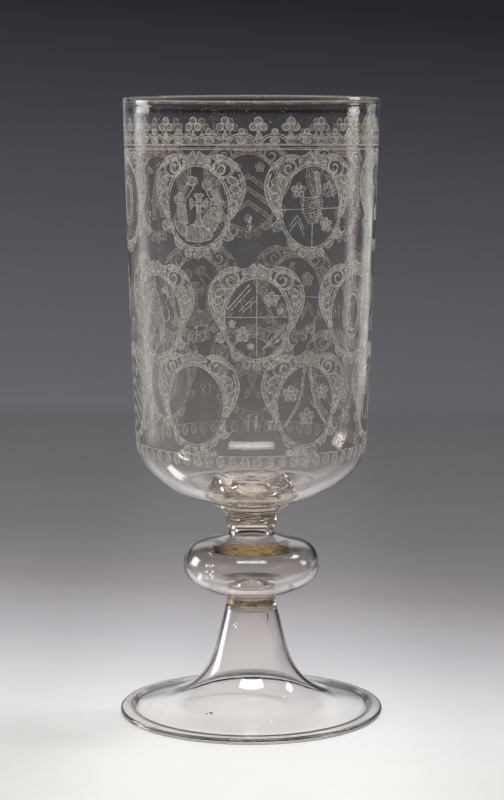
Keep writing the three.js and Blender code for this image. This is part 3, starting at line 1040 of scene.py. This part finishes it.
def shield():
    """A small shield over a cross of lines, with two roses, chevrons and a barred quarter."""
    field = closed((-4.2, 5), (0, 5), (4.2, 5), (4, -1.5), (0, -6.2), (-4, -1.5), steps=3)
    strokes = filled(field, 0.2, 1.1)
    strokes += oval(0, 1.6, 1.3, 1.3, steps=12) + oval(0, -2.2, 1.1, 1.1, steps=12)
    strokes += both(lines(((4.2, 0.2), (13.2, 0.2)))) + lines(((0, -6.2), (0, -15.8)))
    strokes += rose(6.6, -6.4, 2.9) + rose(-6.2, 8, 3.2)
    for shift in (0, 2.2):
        strokes += lines(
            ((4.6, 5.4 + shift), (7.8, 11 + shift * 0.4), (10.6, 4.6 + shift)),
            ((-10, -9 + shift), (-6.6, -4.4 + shift), (-3.6, -10.6 + shift)),
        )
    bar = edged((0.6, 15.4), (2.6, 15.4), (4.2, 6.4), (2.4, 6))
    return moved(strokes + filled(bar, 1.2), 0, -1.8)


def lion():
    """A crowned lion standing on its hind legs, hatched all over, with a long curled tail."""
    body = edged(
        (-3, 9.6), (-1.2, 10.6), (0.6, 9.2), (1.6, 6.6), (2.4, 3.8), (3.2, 0.8), (4.4, -2.2), (5, -4.6),
        (4, -6.6), (4.4, -8.6), (3.6, -10.4), (5.2, -11.6), (1.6, -11.8), (1.8, -9.2), (1.4, -7), (0.2, -5.2),
        (-1, -7), (-2.2, -8.6), (-2.2, -10.4), (-4.8, -11.2), (-4.8, -10), (-3.4, -9), (-3, -6.8),
        (-1.8, -4.4), (-1.6, -1.8), (-2.2, 0), (-3.8, -0.8), (-5.6, 0.8), (-6.8, 0), (-6.9, 1.4), (-5.2, 2.4),
        (-3.2, 1.8), (-2.4, 3.2), (-4, 3.8), (-5.8, 5.6), (-7.2, 5), (-7.2, 6.6), (-5.4, 7), (-3.4, 5.8),
        (-3, 6.6), (-5, 7.6), (-5, 8.6), (-3.9, 9),
    )
    tail = through((4.6, -3.4), (7.2, -2.2), (7.4, 1.2), (5.8, 4.2), (7.2, 7.4), (5.8, 9.4))
    tuft = filled(oval(5, 10, 2, 1, 0.5, 12), 0.3)
    crown = ((-4, 11), (-3.6, 12.8), (-2.6, 11.6), (-1.8, 13.2), (-1, 11.6), (0.2, 12.6), (0.2, 10.8))
    return filled(body, 0.9, 0.62) + tail + tuft + lines(crown)


def quartered():
    """Four quarters, two with slanting bands and two with roses, and smaller roses between."""
    strokes = lines(((0, 15.6), (0, -15.8)), ((-13.4, 0), (13.4, 0)))
    for shift in (0.0, 1.5, 4.6, 6.1):
        strokes += lines(
            ((-12.2 + shift, 3.2 - 0.2 * shift), (-3 + shift * 0.4, 13.6 - shift * 1.1)),
            ((2.2 + shift, -13.6 + 0.5 * shift), (12.2, -2.6 - 0.9 * shift)),
        )
    small = rose(10, 2.6, 1.5) + rose(-2.6, -12.2, 1.5) + rose(-10.4, -2.8, 1.5)
    return strokes + rose(6.2, 7.4, 3.3) + rose(-6, -7.2, 3.3) + small


def annulet():
    """A tall ring over an upright band."""
    strokes = both(lines(((1.1, 15.8), (1.1, 11)), ((1.1, -11), (1.1, -15.8))))
    for half_width, half_height, steps in ((6.9, 10.6, 30), (6, 9.6, 30), (4.6, 8, 26), (4.1, 7.5, 26)):
        strokes += oval(0, 0, half_width, half_height, steps=steps)
    return strokes


def roses():
    """Two curved lines that part from the top, and three roses."""
    strokes = []
    for shift in (0.0, 0.8):
        strokes += both(through((0.9 + shift, 15.6), (2.2 + shift, 6), (4.8 + shift, -2), (10 + shift, -9.4)))
    return strokes + rose(-7.6, 4.6, 3.5) + rose(7.8, 4.8, 3.3) + rose(0.2, -5.6, 3.8)


def chevrons():
    """Three chevrons between roses."""
    strokes = []
    for level in (4.0, -2.0, -8.0):
        upper = ((-11.16, level - 4.4), (0, level + 3.2), (11.16, level - 4.4))
        lower = ((10.8, level - 6.2), (0, level + 1.4), (-10.8, level - 6.2))
        strokes += filled(edged(*upper, *lower), 1.4, 0.6)
    return strokes + rose(-5.4, 10, 2.3) + rose(5.4, 10, 2.3) + rose(0, -13, 2)


def eagle():
    """A bird with spread wings, drawn as hatched leaves about a body."""
    strokes = filled(oval(0, 0, 2.2, 5.6, steps=18), 0.9, 0.55) + ball(-0.4, 7.6, 1.9)
    strokes += lines(((-2, 8), (-4, 7.2), (-2.2, 6.8)))
    wing = []
    for turn, reach in ((1.1, 9.8), (0.6, 10.4), (0.1, 9.8), (-0.45, 8.6)):
        x = 1.6 + 0.5 * reach * math.cos(turn)
        y = 1.6 + 0.5 * reach * math.sin(turn)
        wing += filled(oval(x, y, reach / 2, 1.15, turn, 16), turn + 0.9, 0.6)
    return strokes + both(wing + filled(oval(2, -8.6, 3.4, 1.1, -1.1, 14), 0.3, 0.6))


# The frame round each charge


def strap(hooked):
    """One side of a cartouche: a double strap, a volute, husks that shrink downwards, its lower end."""
    outer = through(
        (5.6, 19.9), (9.2, 20.9), (13.2, 19.9), (16.7, 17.1), (19.1, 13.2), (20.3, 9.2), (20.1, 5),
        (18.5, 0.6), (16.7, -2.6), (15.1, -5.4),
    )
    inner = through((17.7, 13.2), (18.8, 9.2), (18.6, 5.2), (17.1, 1), (15.4, -2.4), (14, -5.2))
    strokes = outer + inner + ladder(outer[0][0][20:], inner[0][0], 32, 1)
    volute = through(
        (5.6, 19), (5.2, 16.4), (7.8, 12.9), (11.8, 11.4), (15, 13), (15.4, 16), (12.8, 18.4),
        (9, 18.4), (7.2, 16), (8.6, 13.4), (11.4, 13.2), (12.4, 15.6), (10.6, 16.9), (9.4, 15.6),
    )
    strokes += volute + moved(volute, 1.53, 2.25, 0.85)
    strokes += ladder(outer[0][0][:20], volute[0][0][25:36][::-1], 22)
    husks = (
        (15.4, 10.2, 2.5, 1.6, -0.5), (16.3, 6.9, 2.1, 1.65, -0.3), (16.3, 3.6, 1.8, 1.5, -0.2),
        (15.6, 0.7, 1.45, 1.3, 0), (14.5, -1.9, 1.15, 1.1, 0.2), (13.6, -4.1, 0.85, 0.9, 0.2),
    )
    for husk in husks:
        strokes += filled(oval(*husk, 14), 1.0, 0.75)
    if hooked:
        blob = closed(
            (12.2, -8.2), (10.9, -11.2), (10.9, -13.2), (12.8, -14.4), (15.2, -13.6), (15.9, -12),
            (14.2, -11.8), (13.3, -9.8),
        )
        hook = through((14.2, -5.2), (13.7, -9), (14.6, -11.6), (16.3, -11.8), (17.3, -10.4), (16.4, -9.5))
        return strokes + filled(blob, 0.7) + hook
    return strokes + lines(((13.6, -5.2), (14.2, -6.8)), ((14.7, -5.4), (15.8, -6.8))) + ball(15.4, -8.7, 2)


def cartouche(charge):
    """A double oval with straps, a crest of two leaves, two small leaves and balls below, and its charge."""
    inner = oval(0, -0.7, 13.6, 16.9, steps=48)
    outer = oval(0, -0.7, 14.8, 18.1, steps=48)
    strokes = inner + outer + ladder(inner[0][0], outer[0][0], 90, 0.6)
    strokes += strap(True) + moved(strap(False), mirror=-1)
    crest = closed((0.6, 17.6), (0.3, 20.2), (1.2, 22.2), (3, 20.8), (5.6, 19.9), (6, 18), (3.4, 17.6))
    tail_leaf = closed((6, -16.4), (8.4, -15.4), (10.8, -13.6), (10.2, -16.6), (7.8, -18.2))
    strokes += both(filled(crest)) + both(filled(tail_leaf, 0.4))
    for x, y in ((-4.3, -19.8), (0, -20.6), (4.3, -19.8)):
        strokes += ball(x, y, 1.6)
    return strokes + (charge() if charge else [])


# Digits on a grid two wide and four high, as a run of grid points each; the grid's pitch across and up, its
# slant, and the step to the next digit
DIGIT_PITCH = (1.15, 1.55)
DIGIT_SLANT = 0.15
DIGIT_STEP = 3.5
DIGITS = {
    "0": "10 01 03 14 23 21 10", "1": "03 14 10", "2": "03 14 23 22 00 20", "3": "04 24 12 21 10 00",
    "4": "10 14 01 21", "5": "24 04 03 12 21 10 00", "6": "23 14 03 01 10 21 12 02", "7": "04 24 10",
    "8": "12 03 14 23 12 01 10 21 12", "9": "00 11 23 14 03 12 22",
}


def number(value, x, y):
    """A plain number in engraved strokes, slightly slanted."""
    strokes = []
    for place, digit in enumerate(str(value)):
        grid = np.array([(int(across), int(up)) for across, up in DIGITS[digit].split()])
        points = grid * DIGIT_PITCH + [x + place * DIGIT_STEP, y]
        points[:, 0] += DIGIT_SLANT * grid[:, 1]
        strokes += lines(points, width=DIGIT_WIDTH)
    return strokes


def ribbons(name, strokes):
    """Strokes as ribbons on the bowl: each point goes half a width to both sides of its neighbours' chord,
    across becomes an angle, and the radius is the wall's at that height plus a hair."""
    points = []
    faces = []
    start = 0
    for line, width in strokes:
        line = bent(line)
        chord = np.gradient(line, axis=0)
        if np.allclose(line[0], line[-1]):
            chord[0] = chord[-1] = line[1] - line[-2]
        chord /= np.linalg.norm(chord, axis=1)[:, None] + 1e-9
        side = 0.5 * width * np.column_stack([chord[:, 1], -chord[:, 0]])
        points += [np.stack([line + side, line - side], axis=1).reshape(-1, 2)]
        first = start + 2 * np.arange(len(line) - 1)
        faces += np.column_stack([first, first + 2, first + 3, first + 1]).tolist()
        start += 2 * len(line)
    flat = np.vstack(points)
    theta = flat[:, 0] / UNROLLED
    wall = np.interp(flat[:, 1] - BOWL_Z, outer_bowl[:, 1], outer_bowl[:, 0])
    radius, height = settled(theta, wall, flat[:, 1])
    radius = radius + CUT_LIFT
    laid = np.column_stack([radius * np.sin(theta), -radius * np.cos(theta), height])
    piece = mesh_piece(name, laid, faces, line_cut)
    corners = np.empty(len(piece.data.loops), np.int32)
    piece.data.loops.foreach_get("vertex_index", corners)
    unrolled = piece.data.uv_layers.new(name="Unrolled")
    unrolled.data.foreach_set("uv", (flat[corners] / UV_METRE).astype(np.float32).ravel())
    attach(piece, "root")


# Heights on the bowl, and how much lower the upper border runs at the back than at the front
UPPER_LINES = (250.3, 252.1)
LOWER_LINE = 122.1
ENGRAVED_BAND = (112, 267)
DUSTY_BAND = (255, 267)
BORDER_DIP = 4.5
FIRST_ARCH = 0.71
TURN = 2 * np.pi * UNROLLED


def dipped(strokes, depth):
    """Strokes lowered by half the depth times one minus the cosine of the angle, most at the back."""
    lowered = []
    for points, width in strokes:
        fall = 0.5 * depth * (1 - np.cos(points[:, 0] / UNROLLED))
        lowered += [(points - np.column_stack([0 * fall, fall]), width)]
    return lowered


def ground_line(level):
    return [(np.column_stack([np.linspace(0, TURN, 241), np.full(241, level)]), CUT_WIDTH)]


def upper_border():
    """Two ground lines, and on them arches with balls on top and three-lobed plants between."""
    arches = 25
    span = TURN / arches
    half = span / 2
    ground = UPPER_LINES[1]
    rise = np.linspace(0, np.pi, 15)
    unit = []
    for width, height in ((half - 0.3, 4.6), (half - 1.3, 3.6)):
        unit += [(np.column_stack([-width * np.cos(rise), ground + height * np.sin(rise)]), CUT_WIDTH)]
    unit += filled(oval(0, 253.9, 2, 1.2, steps=14), 1.0, 0.55) + ball(0, 257.6, 1.2)
    plant = ball(0, 262, 1.5) + ball(-2, 259.5, 1.5) + ball(2, 259.5, 1.5)
    stem = closed((-1.6, 254.6), (-0.5, 256.6), (0, 258.4), (0.5, 256.6), (1.6, 254.6), steps=3)
    unit += moved(plant + filled(stem, 1.4), half)
    strokes = ground_line(UPPER_LINES[0]) + ground_line(ground)
    for index in range(arches):
        strokes += moved(unit, (index + FIRST_ARCH) * span)
    return dipped(strokes, BORDER_DIP)


def lower_border():
    """A ground line with a row of hanging hatched drops."""
    drops = 60
    strokes = ground_line(LOWER_LINE)
    for index in range(drops):
        strokes += filled(oval((index + 0.5) * TURN / drops, LOWER_LINE - 2.7, 1.75, 2.3, steps=16), 0.9, 0.6)
    return strokes


def specks():
    """Seeds and dust: short marks strewn over the wall, most of them near the lip."""
    strewn = np.random.default_rng(7)
    count = 700
    across = strewn.uniform(-np.pi, np.pi, count) * UNROLLED
    near_lip = strewn.uniform(0, 1, count) < 0.5
    height = np.where(near_lip, strewn.uniform(*DUSTY_BAND, count), strewn.uniform(*ENGRAVED_BAND, count))
    reach = strewn.uniform(0.1, 0.3, (count, 2))
    start = np.column_stack([across, height])
    return lines(*zip(start, start + reach), width=SPECK_WIDTH)


ribbons("specks_in_wall", specks())
ribbons("engraved_upper_border", upper_border())
ribbons("engraved_lower_border", lower_border())

# Height, degrees of the first two cartouches, first number and charges of each row
ROWS = (
    (227.1, (-24.6, 27.8), 3, (cross, shield, roses, eagle, chevrons, lion, annulet)),
    (181.0, (2.5, 54.2), 13, (quartered, annulet, eagle, shield, cross, chevrons, lion)),
    (144.0, (-27.6, 26.8), 13, (None, roses, lion, quartered, eagle, annulet, chevrons)),
)
NUMBER_ASIDE = 27.5
NUMBER_BELOW = 10.0
for row, (height, (first, second), first_number, charges) in enumerate(ROWS, 1):
    gap = (360 - (second - first)) / (len(charges) - 1)
    for index, charge in enumerate(charges):
        degrees = second + gap * (index - 1) if index else first
        across = math.radians(degrees) * UNROLLED
        drawing = moved(cartouche(charge), across, height)
        drawing += number(first_number + index, across - NUMBER_ASIDE, height - NUMBER_BELOW)
        ribbons(f"engraved_cartouche_{row}_{index + 1}", drawing)

# Stage: a pale table that darkens into the distance, then a backdrop that darkens with height as far as the
# picture goes

# How the table looks at a distance behind the goblet, in metres; to the right it looks further away
TABLE_SHADES = (
    (-0.30, srgb(240, 239, 236)),
    (-0.08, srgb(241, 240, 237)),
    (-0.02, srgb(238, 237, 236)),
    (0.02, srgb(229, 228, 229)),
    (0.07, srgb(213, 211, 214)),
    (0.13, srgb(193, 190, 195)),
    (0.25, srgb(153, 148, 152)),
    (0.32, srgb(138, 135, 137)),
    (0.40, srgb(126, 125, 126)),
    (0.60, srgb(113, 112, 114)),
    (0.98, srgb(100, 101, 105)),
)
RIGHT_SIDE_FURTHER = 0.3

# Painted reflections: patches of the table beside the picture that glow, as if a window lit them, for what
# glass
# mirrors: middle and half size in metres, and brightness
PAINTED_REFLECTION_PATCHES = (
    (-0.36, -0.13, 0.09, 0.012, 22.0),
    (-0.15, 0.02, 0.045, 0.012, 6.0),
)


def table_material():
    """Pale matt board whose shade is a function of place, with a painted pool of light round the goblet and
    painted shade towards its sides. Near the goblet it is lit and holds the shadow; further off, what looks
    straight at it sees its shade; its far edges are clear. Patches of it beside the picture glow in
    reflections as painted reflections."""
    nodes = new_material("pale_table")
    place = nodes.place()
    part = nodes.xyz(place)
    away = nodes.plus(part["Y"], nodes.times(part["X"], RIGHT_SIDE_FURTHER))
    shade = nodes.graded(away, TABLE_SHADES[0][0], TABLE_SHADES[-1][0], TABLE_SHADES)
    mottle = nodes.ramp(nodes.noise(place, 40.0, 3.0, 0.5), (0.3, grey(0.98)), (0.7, grey(1.0)))
    across = nodes.size(part["X"])
    # Painted light and shade: brighter in a pool round the goblet, darker towards the sides
    painted_light_pool = nodes.spread(across, 0.035, 0.105, 1.0, 0.87)
    beside = nodes.spread(across, 0.16, 0.4, 1.0, 0.55)
    before = nodes.spread(part["Y"], -0.75, -0.35, 0.12, 1.0)
    lit = nodes.times(nodes.times(painted_light_pool, beside), before)
    colour = nodes.vectors("MULTIPLY", nodes.vectors("MULTIPLY", shade, mottle), lit)
    board = nodes.principled({"Base Color": colour, "Roughness": 0.8})
    plain = nodes.add("Emission", {"Color": colour, "Strength": 1.0})[0]
    path = nodes.add("LightPath")
    straight = nodes.most(path["Is Camera Ray"], path["Is Glossy Ray"])
    straight = nodes.most(straight, path["Is Transmission Ray"])
    distance = nodes.add("VectorMath", {0: place}, operation="LENGTH")["Value"]
    far_off = nodes.times(straight, nodes.spread(distance, 0.10, 0.34, 0.35, 1.0))
    # Painted reflections: the patches glow only for rays that glass mirrors
    patches = 0.0
    for x, y, half_x, half_y, brightness in PAINTED_REFLECTION_PATCHES:
        off_x = nodes.size(nodes.minus(part["X"], x))
        off_y = nodes.size(nodes.minus(part["Y"], y))
        over_x = nodes.spread(off_x, 0.8 * half_x, 1.2 * half_x, brightness, 0.0)
        over_y = nodes.spread(off_y, 0.7 * half_y, 1.3 * half_y, 1.0, 0.0)
        patches = nodes.plus(patches, nodes.times(over_x, over_y))
    mirrored = nodes.times(patches, path["Is Glossy Ray"])
    painted_reflections = nodes.add("Emission", {"Color": mottle, "Strength": mirrored})[0]
    patched = nodes.add("AddShader", {0: nodes.between(far_off, board, plain), 1: painted_reflections})[0]
    edge = nodes.most(nodes.spread(across, 0.45, 0.65), nodes.spread(part["Y"], 0.86, 0.98))
    return nodes.surface(nodes.between(edge, patched, nodes.clear()))


def table_top():
    """A flat rectangle under the foot that runs back to the backdrop."""
    side = 700.0
    front = -1800.0
    back = 1000.0
    below = -0.05
    corners = [(-side, front, below), (side, front, below), (side, back, below), (-side, back, below)]
    mesh_piece("table_top", corners, [[0, 1, 2, 3]], table_material())


table_top()

# What the glass mirrors, in degrees as the goblet sees it, azimuth to the right of the camera:
# azimuth, elevation, half width, half height, softness, brightness
GLOWS = (
    (0, 60, 20, 8, 0.10, 9.0),
    (-116, 10, 9, 11, 0.25, 6.0),
    (112, 41, 5, 5, 0.25, 9.0),
    (-120, -6, 10, 5, 0.7, 0.6),
    (-121, -3.2, 8, 1.0, 0.7, 1.4),
    (104, -6, 3, 4.5, 0.9, 0.7),
    (138, -7, 11, 4, 0.3, 0.8),
    (-178, 22, 22, 9, 0.6, 0.72),
)

# The same for what only the outer faces mirror
LOW_GLOWS = ((-166, 3, 20, 6, 0.5, 0.4),)

# The backdrop's colours by elevation, in degrees
LOWEST = -18.0
HIGHEST = 42.0
BACKDROP_SHADES = (
    (-17.0, srgb(243, 241, 239)),
    (-14.9, srgb(229, 228, 229)),
    (-13.6, srgb(193, 190, 195)),
    (-12.4, srgb(153, 148, 152)),
    (-11.2, srgb(126, 125, 126)),
    (-8.1, srgb(100, 101, 105)),
    (-3.6, srgb(76, 77, 82)),
    (0.9, srgb(36, 38, 44)),
    (8.0, srgb(52, 54, 60)),
    (40.0, srgb(80, 81, 86)),
)
SOFT_LIGHT = 0.05
RIGHT_SIDE_DARKER = 4.3


def glowing(nodes, direction, box, boxes):
    """The summed brightness of soft boxes, each in its own frame: turned by azimuth, then by elevation."""
    total = 0.0
    for azimuth, elevation, half_width, half_height, softness, brightness in boxes:
        turn = {"Vector": direction, "Rotation": (0, 0, math.pi - math.radians(azimuth))}
        turned_round = nodes.add("Mapping", turn, vector_type="VECTOR")[0]
        tilt = {"Vector": turned_round, "Rotation": (-math.radians(elevation), 0, 0)}
        values = {
            "Direction": nodes.add("Mapping", tilt, vector_type="VECTOR")[0],
            "Half Width": math.tan(math.radians(half_width)),
            "Half Height": math.tan(math.radians(half_height)),
            "Softness": softness,
            "Brightness": brightness,
        }
        total = nodes.plus(total, nodes.add("Group", values, node_tree=box)["Glow"])
    return total


def backdrop():
    """The world: a gradient by the ray's elevation with soft boxes for what is seen, and a plain level for
    soft light."""
    nodes = emptied(bpy.data.worlds.new("studio_backdrop"))
    direction = nodes.add("TexCoord")["Generated"]
    part = nodes.xyz(direction)
    elevation = nodes.times(nodes.maths("ARCSINE", part["Z"]), 180 / math.pi)
    elevation = nodes.plus(elevation, nodes.times(part["X"], RIGHT_SIDE_DARKER))
    seen = nodes.graded(elevation, LOWEST, HIGHEST, BACKDROP_SHADES)
    dark_room = nodes.spread(part["Y"], -0.6, -0.1, 0.12, 1.0)
    path = nodes.add("LightPath")
    glass_ray = nodes.most(path["Is Glossy Ray"], path["Is Transmission Ray"])
    outer_face = nodes.maths("SUBTRACT", path["Is Glossy Ray"], path["Is Transmission Ray"], use_clamp=True)
    box = box_glow()
    low_glow = nodes.times(glowing(nodes, direction, box, LOW_GLOWS), outer_face)
    glow = nodes.plus(nodes.times(glowing(nodes, direction, box, GLOWS), glass_ray), low_glow)
    lit = nodes.vectors("ADD", nodes.vectors("MULTIPLY", seen, dark_room), glow)
    straight = nodes.most(path["Is Camera Ray"], glass_ray)
    colour = nodes.blend(straight, (*grey(SOFT_LIGHT), 1), lit)
    shader = nodes.add("Background", {"Color": colour, "Strength": 1.0})[0]
    bpy.context.scene.world = nodes.surface(shader, "OutputWorld")


backdrop()


def softbox(name, azimuth, elevation, width, height, brightness):
    """An area lamp aimed at the goblet. Angles and sizes are degrees as the goblet sees them, azimuth to the
    right of the camera; brightness is how bright the box looks, so its power grows with its area."""
    distance = 2.0
    target = np.array([0, 0, 0.14])
    a = math.radians(azimuth)
    e = math.radians(elevation)
    direction = np.array([math.sin(a) * math.cos(e), -math.cos(a) * math.cos(e), math.sin(e)])
    lamp = bpy.data.lights.new(name, "AREA")
    lamp.shape = "RECTANGLE"
    lamp.size = 2 * distance * math.tan(math.radians(width / 2))
    lamp.size_y = 2 * distance * math.tan(math.radians(height / 2))
    lamp.energy = brightness * 4 * lamp.size * lamp.size_y
    lamp.cycles.use_multiple_importance_sampling = False
    holder = bpy.data.objects.new(name, lamp)
    holder.location = target + distance * direction
    holder.rotation_euler = (math.radians(90 - elevation), 0, a)
    holder.visible_camera = False
    holder.visible_glossy = False
    holder.visible_transmission = False
    bpy.context.scene.collection.objects.link(holder)


softbox("ceiling", 0, 89, 75, 75, 0.53)
softbox("front_top_box", 0, 55, 46, 20, 4.0)
softbox("left_window", -109, 14, 30, 24, 3.0)
softbox("right_high_lamp", 112, 41, 14, 12, 34.0)

EYE = (0.0003, -1.09235, 0.29521)
PITCH = 0.142072
FOCAL_LENGTH = 113.74


def camera():
    """The photograph's view: distance, height, pitch and lens fitted to the rim and foot ellipses."""
    lens = bpy.data.cameras.new("front_camera")
    lens.sensor_width = 36.0
    lens.lens = FOCAL_LENGTH
    lens.clip_start = 0.05
    lens.clip_end = 20.0
    holder = bpy.data.objects.new("front_camera", lens)
    holder.location = EYE
    holder.rotation_euler = (math.pi / 2 - PITCH, 0, 0)
    bpy.context.scene.collection.objects.link(holder)
    bpy.context.scene.camera = holder


camera()

scene = bpy.context.scene
scene.view_settings.view_transform = "Standard"
cycles = scene.cycles
cycles.max_bounces = 24
cycles.transmission_bounces = 24
cycles.glossy_bounces = 12
cycles.transparent_max_bounces = 32
cycles.caustics_reflective = False
cycles.caustics_refractive = False
cycles.sample_clamp_indirect = 6.0
cycles.use_denoising = True
